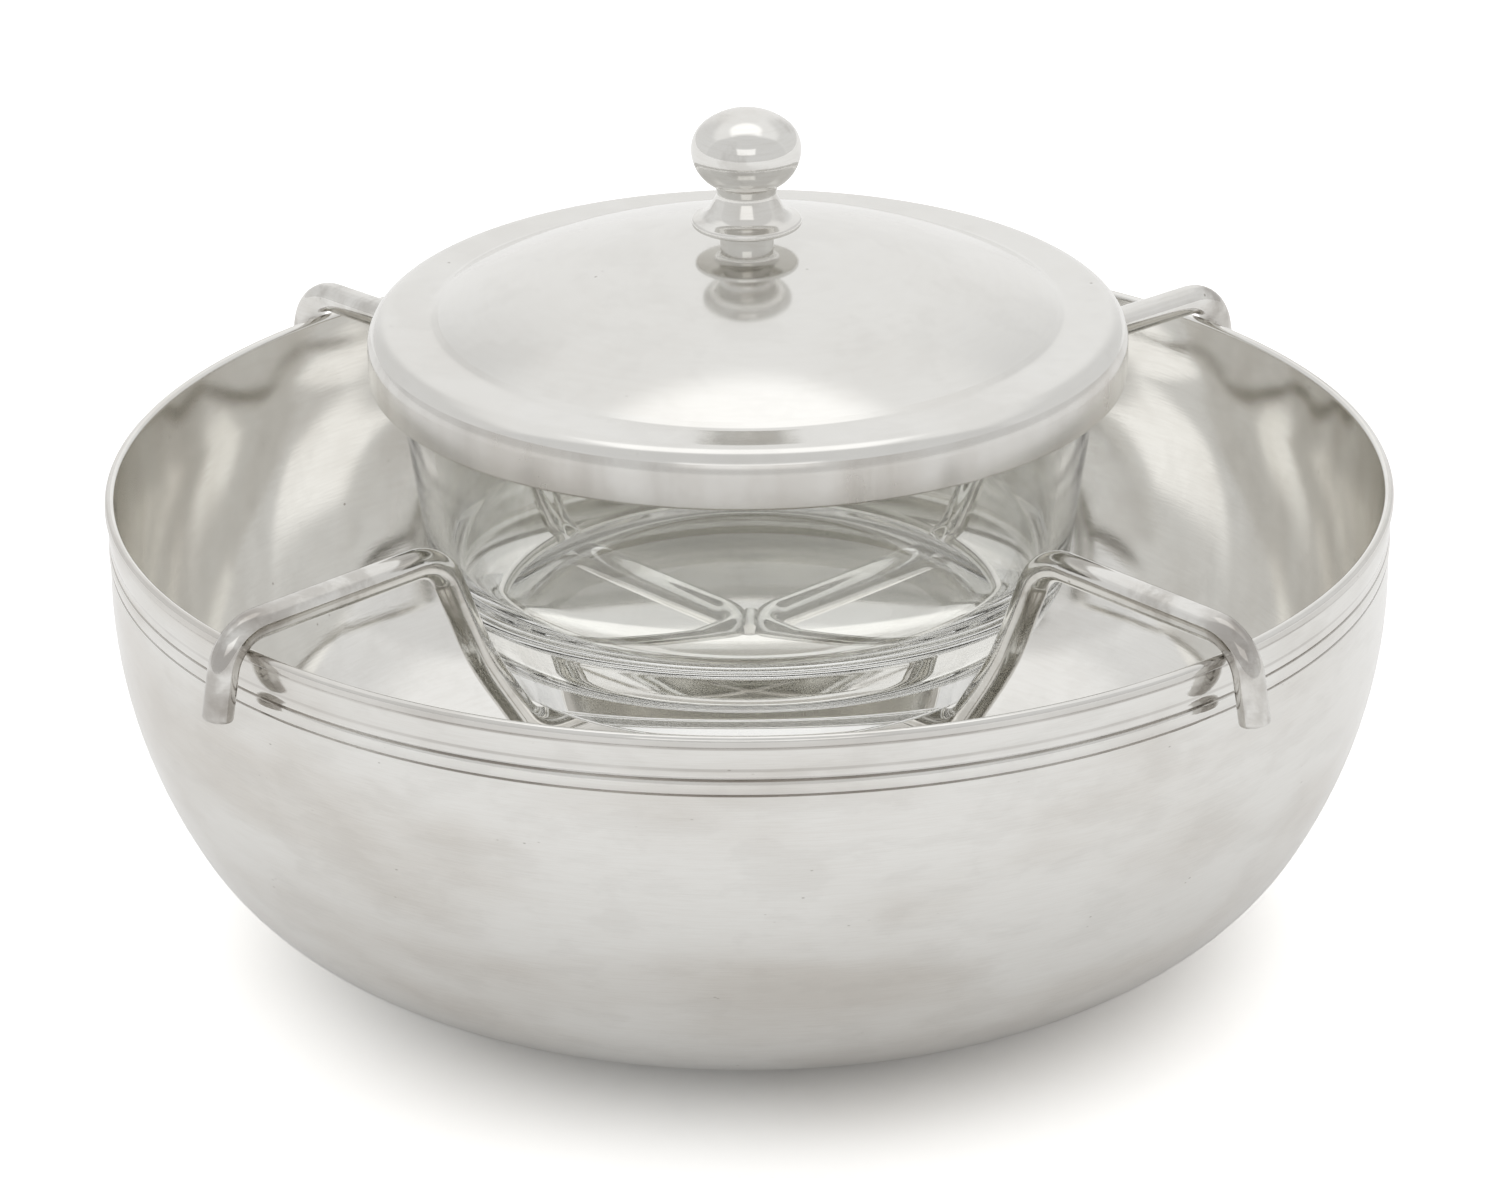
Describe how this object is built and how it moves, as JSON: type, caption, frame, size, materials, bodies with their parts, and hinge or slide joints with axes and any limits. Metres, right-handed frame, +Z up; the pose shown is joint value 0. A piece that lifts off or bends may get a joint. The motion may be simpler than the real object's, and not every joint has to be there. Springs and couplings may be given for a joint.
{
  "type": "caviar server",
  "caption": "Polished silver bowl for crushed ice, with a wire cradle hooked over its rim that holds a thick glass liner under a domed lid with a turned finial.",
  "frame": {"origin": "centre of the bowl's flat underside, on the floor", "axes": "+Z up through the finial, -Y towards the front, +X to the right"},
  "size_m": [0.222, 0.222, 0.1515],
  "materials": {
    "bowl_silver": "polished silver with a faint cloudy tarnish and fine scratches",
    "wire_silver": "polished silver wire",
    "lid_silver": "polished silver, mottled on the skirt",
    "clear_glass": "clear polished glass with a faint grey-green tint"
  },
  "bodies": {
    "root": {"outer_bowl": "bowl_silver", "rim_band": "bowl_silver", "cradle_wire_left": "wire_silver", "cradle_wire_right": "wire_silver", "cradle_solder": "wire_silver", "glass_liner": "clear_glass", "lid": "lid_silver", "finial": "lid_silver", "finial_washer": "lid_silver", "finial_nut": "lid_silver"}
  },
  "joints": []
}
